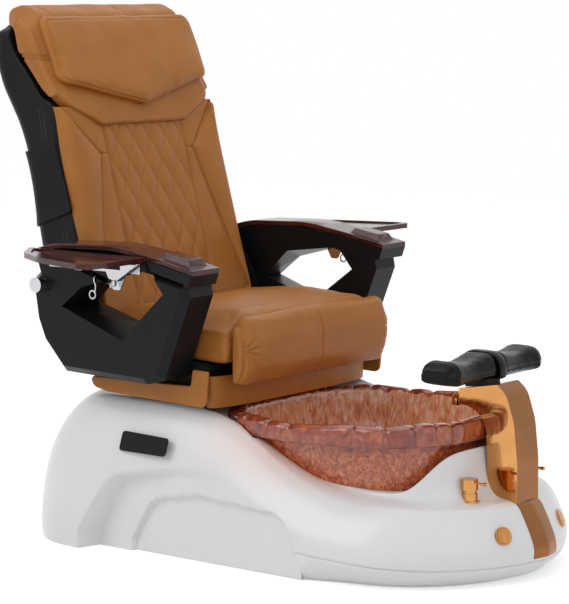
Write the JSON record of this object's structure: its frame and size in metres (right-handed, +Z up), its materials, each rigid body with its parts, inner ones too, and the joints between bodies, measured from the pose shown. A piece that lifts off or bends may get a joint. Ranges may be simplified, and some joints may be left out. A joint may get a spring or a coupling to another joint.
{
  "type": "pedicure spa chair",
  "caption": "Pedicure spa chair: padded reclining massage seat on a moulded base with a resin foot bowl, an arched foot cushion stand and fold-down armrest trays",
  "frame": {"origin": "on the floor under the middle of the overall length, on the plane of symmetry", "axes": "+X points where the sitter faces, +Y to the sitter's left, +Z up"},
  "size_m": [1.4977, 1.282, 1.3153],
  "materials": {
    "base_white": "glossy white gel coat",
    "bowl_resin": "amber brown translucent resin, hammered",
    "rose_gold": "mirror-polished rose gold plating",
    "chrome_fittings": "polished chrome",
    "frame_steel": "grey painted steel",
    "black_steel": "satin black powder coat",
    "black_plastic": "satin black moulded plastic",
    "black_leather": "black synthetic leather, fine grain",
    "camel_leather": "camel brown synthetic leather, soft sheen",
    "wood_effect": "dark burgundy wood effect, high gloss",
    "roller_rubber": "matte black rubber"
  },
  "bodies": {
    "base": {"base_shell": "base_white", "lower_pan": "base_white", "side_panel_right": "base_white", "side_panel_left": "base_white", "base_frame": "frame_steel", "levelling_feet": "frame_steel", "bowl": "bowl_resin", "bowl_cradle": "frame_steel", "bowl_drain": "chrome_fittings", "drain_pump": "black_plastic", "jet_housing": "chrome_fittings", "footrest_arch": "rose_gold", "cushion_bracket": "frame_steel", "foot_cushion": "black_leather", "foot_strap": "black_leather", "front_strip": "rose_gold", "valve_bodies": "rose_gold", "button_bezels": "rose_gold", "water_spout": "rose_gold", "seat_pedestal": "black_steel", "slide_rails": "frame_steel"},
    "seat": {"seat_frame": "black_steel", "seat_cushion": "camel_leather", "seat_roll": "camel_leather", "front_skirt": "camel_leather", "side_valance_right": "camel_leather", "side_valance_left": "camel_leather", "arm_pivots": "black_steel", "recline_actuator": "frame_steel"},
    "back": {"back_frame": "black_steel", "back_shell": "black_leather", "back_band": "black_leather", "back_cushion": "camel_leather", "back_hood": "camel_leather", "head_pillow": "camel_leather", "massage_rails": "frame_steel"},
    "carriage": {"massage_carriage": "black_plastic"},
    "rollers": {"massage_rollers": "roller_rubber"},
    "drain_stopper": {"drain_stopper": "chrome_fittings"},
    "jet_impeller": {"jet_impeller": "black_plastic"},
    "arm_right": {"armrest_panel_right": "black_plastic", "armrest_top_right": "wood_effect", "armrest_cap_right": "black_plastic", "tray_bracket_right": "chrome_fittings"},
    "tray_right": {"tray_right": "wood_effect"},
    "strut_right": {"tray_strut_right": "chrome_fittings"},
    "release_right": {"release_lever_right": "chrome_fittings"},
    "knob_right": {"lock_knob_right": "chrome_fittings"},
    "valve_right": {"valve_handle_right": "rose_gold"},
    "button_right": {"nose_button_right": "rose_gold"},
    "arm_left": {"armrest_panel_left": "black_plastic", "armrest_top_left": "wood_effect", "armrest_cap_left": "black_plastic", "tray_bracket_left": "chrome_fittings"},
    "tray_left": {"tray_left": "wood_effect"},
    "strut_left": {"tray_strut_left": "chrome_fittings"},
    "release_left": {"release_lever_left": "chrome_fittings"},
    "knob_left": {"lock_knob_left": "chrome_fittings"},
    "valve_left": {"valve_handle_left": "rose_gold"},
    "button_left": {"nose_button_left": "rose_gold"}
  },
  "joints": [
    {"name": "seat_slide", "type": "slide", "parent": "base", "child": "seat", "axis": [1, 0, 0], "range_m": [0, 0.06]},
    {"name": "back_recline", "type": "hinge", "parent": "seat", "child": "back", "pos_m": [-0.352, 0, 0.478], "axis": [0, -1, 0], "range_deg": [0, 30]},
    {"name": "massage_travel", "type": "slide", "parent": "back", "child": "carriage", "axis": [-0.2596, 0, 0.9657], "range_m": [-0.11, 0.14]},
    {"name": "roller_spin", "type": "hinge", "parent": "carriage", "child": "rollers", "pos_m": [-0.48274, 0, 0.76], "axis": [0, 1, 0], "continuous": true},
    {"name": "stopper_lift", "type": "slide", "parent": "base", "child": "drain_stopper", "axis": [0, 0, 1], "range_m": [0, 0.02]},
    {"name": "impeller_spin", "type": "hinge", "parent": "base", "child": "jet_impeller", "pos_m": [0.224, -0.26859, 0.19089], "axis": [0, 0.9593, 0.2823], "continuous": true},
    {"name": "arm_lift_right", "type": "hinge", "parent": "seat", "child": "arm_right", "pos_m": [-0.437, -0.379, 0.64], "axis": [0, -1, 0], "range_deg": [0, 60]},
    {"name": "knob_turn_right", "type": "hinge", "parent": "arm_right", "child": "knob_right", "pos_m": [-0.437, -0.44, 0.64], "axis": [0, -1, 0], "range_deg": [0, 180]},
    {"name": "tray_fold_right", "type": "hinge", "parent": "arm_right", "child": "tray_right", "pos_m": [-0.265, -0.446, 0.716], "axis": [1, 0, 0], "range_deg": [0, 90]},
    {"name": "strut_fold_right", "type": "hinge", "parent": "arm_right", "child": "strut_right", "pos_m": [-0.196, -0.439, 0.658], "axis": [1, 0, 0], "range_deg": [0, 113]},
    {"name": "release_swing_right", "type": "hinge", "parent": "strut_right", "child": "release_right", "pos_m": [-0.196, -0.49638, 0.68148], "axis": [1, 0, 0], "range_deg": [-113, 0]},
    {"name": "valve_turn_right", "type": "hinge", "parent": "base", "child": "valve_right", "pos_m": [0.61, -0.1225, 0.225], "axis": [0, 0, -1], "range_deg": [0, 90]},
    {"name": "button_press_right", "type": "slide", "parent": "base", "child": "button_right", "axis": [-0.8594, 0.3299, -0.3907], "range_m": [0, 0.003], "stiffness_N_per_m": 600, "springref_m": -0.001},
    {"name": "arm_lift_left", "type": "hinge", "parent": "seat", "child": "arm_left", "pos_m": [-0.437, 0.379, 0.64], "axis": [0, -1, 0], "range_deg": [0, 60]},
    {"name": "knob_turn_left", "type": "hinge", "parent": "arm_left", "child": "knob_left", "pos_m": [-0.437, 0.44, 0.64], "axis": [0, 1, 0], "range_deg": [0, 180]},
    {"name": "tray_fold_left", "type": "hinge", "parent": "arm_left", "child": "tray_left", "pos_m": [-0.265, 0.446, 0.716], "axis": [-1, 0, 0], "range_deg": [0, 90]},
    {"name": "strut_fold_left", "type": "hinge", "parent": "arm_left", "child": "strut_left", "pos_m": [-0.196, 0.439, 0.658], "axis": [-1, 0, 0], "range_deg": [0, 113]},
    {"name": "release_swing_left", "type": "hinge", "parent": "strut_left", "child": "release_left", "pos_m": [-0.196, 0.49638, 0.68148], "axis": [-1, 0, 0], "range_deg": [-113, 0]},
    {"name": "valve_turn_left", "type": "hinge", "parent": "base", "child": "valve_left", "pos_m": [0.61, 0.1225, 0.225], "axis": [0, 0, 1], "range_deg": [0, 90]},
    {"name": "button_press_left", "type": "slide", "parent": "base", "child": "button_left", "axis": [-0.8594, -0.3299, -0.3907], "range_m": [0, 0.003], "stiffness_N_per_m": 600, "springref_m": -0.001}
  ],
  "couplings": [
    {"joint": "strut_fold_right", "follows": "tray_fold_right", "ratio": 1.2473},
    {"joint": "release_swing_right", "follows": "tray_fold_right", "ratio": -1.2473},
    {"joint": "strut_fold_left", "follows": "tray_fold_left", "ratio": 1.2473},
    {"joint": "release_swing_left", "follows": "tray_fold_left", "ratio": -1.2473}
  ]
}
